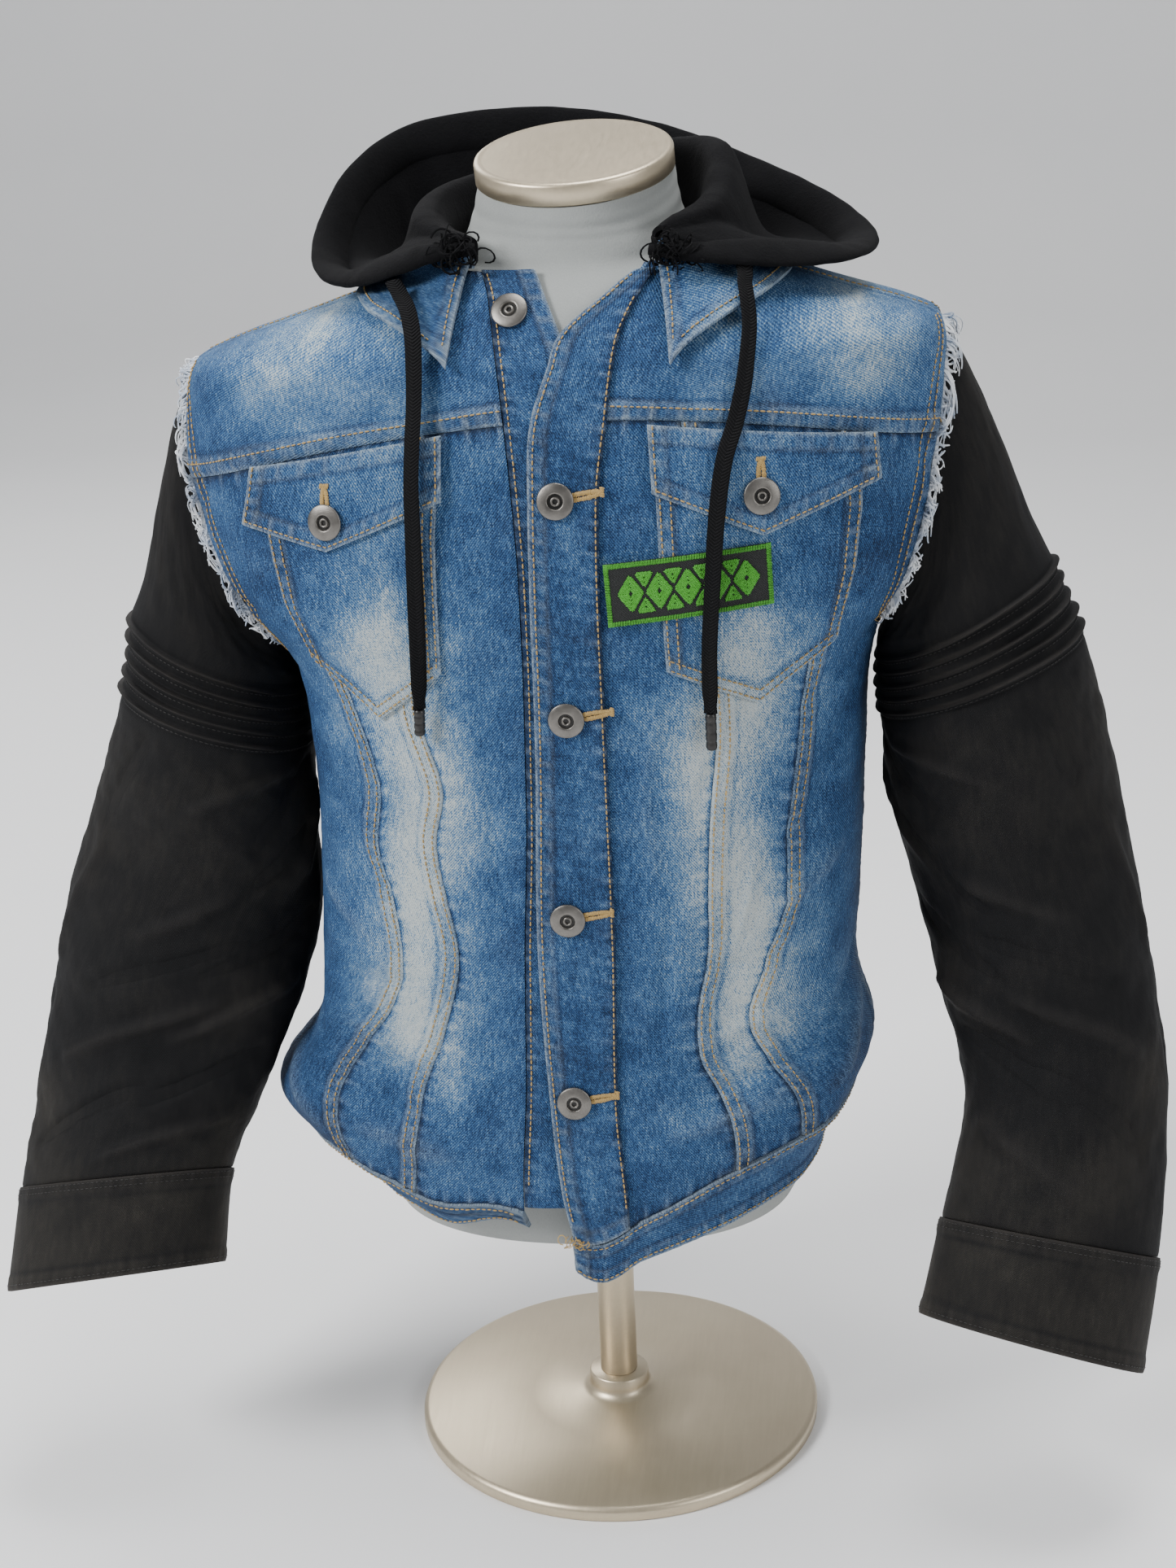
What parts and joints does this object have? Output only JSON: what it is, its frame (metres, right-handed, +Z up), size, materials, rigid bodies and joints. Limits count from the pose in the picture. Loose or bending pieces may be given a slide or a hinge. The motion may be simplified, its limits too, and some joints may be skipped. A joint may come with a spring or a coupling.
{
  "type": "hooded denim jacket on a dress form",
  "caption": "Buttoned denim jacket with cloth sleeves, frayed armholes, chest pockets and a lowered drawstring hood, on a smooth limbless dress form on a pole and round base.",
  "frame": {"origin": "middle of the stand base's underside, on the floor", "axes": "+Z up, the wearer's front faces -Y, the wearer's left is +X"},
  "size_m": [0.7435, 0.3003, 0.8587],
  "materials": {
    "denim": "washed mid-blue denim",
    "pale_denim": "worn pale denim",
    "twill": "faded black cotton twill",
    "fleece": "black sweatshirt fleece and braid",
    "dark_steel": "brushed",
    "white_thread": "loose cotton warp",
    "patch_cloth": "embroidered black cloth",
    "jersey": "light grey stretch jersey",
    "nickel": "brushed champagne nickel"
  },
  "bodies": {
    "root": {"front_centre_right": "denim", "front_middle_right": "denim", "front_side_right": "denim", "back_side_right": "denim", "front_centre_left": "denim", "front_middle_left": "denim", "front_side_left": "denim", "back_side_left": "denim", "back_centre": "denim", "waistband_right": "denim", "waistband_left": "denim", "placket_under": "denim", "placket_over": "denim", "pocket_right": "denim", "pocket_left": "denim", "flap_right": "denim", "flap_left": "denim", "collar": "denim", "front_yoke_right": "pale_denim", "front_yoke_left": "pale_denim", "back_yoke": "pale_denim", "sleeve_head_right": "twill", "sleeve_arm_right": "twill", "cuff_right": "twill", "sleeve_head_left": "twill", "sleeve_arm_left": "twill", "cuff_left": "twill", "hood_casing": "fleece", "hood": "fleece", "drawstring_right": "fleece", "drawstring_left": "fleece", "button_top": "dark_steel", "button_1": "dark_steel", "button_2": "dark_steel", "button_3": "dark_steel", "button_4": "dark_steel", "button_flap_right": "dark_steel", "button_flap_left": "dark_steel", "aglet_right": "dark_steel", "aglet_left": "dark_steel", "frayed_edge_right": "white_thread", "frayed_edge_left": "white_thread", "chest_patch": "patch_cloth", "form_torso": "jersey", "neck_cap": "nickel", "stand_pole": "nickel", "stand_base": "nickel"}
  },
  "joints": []
}
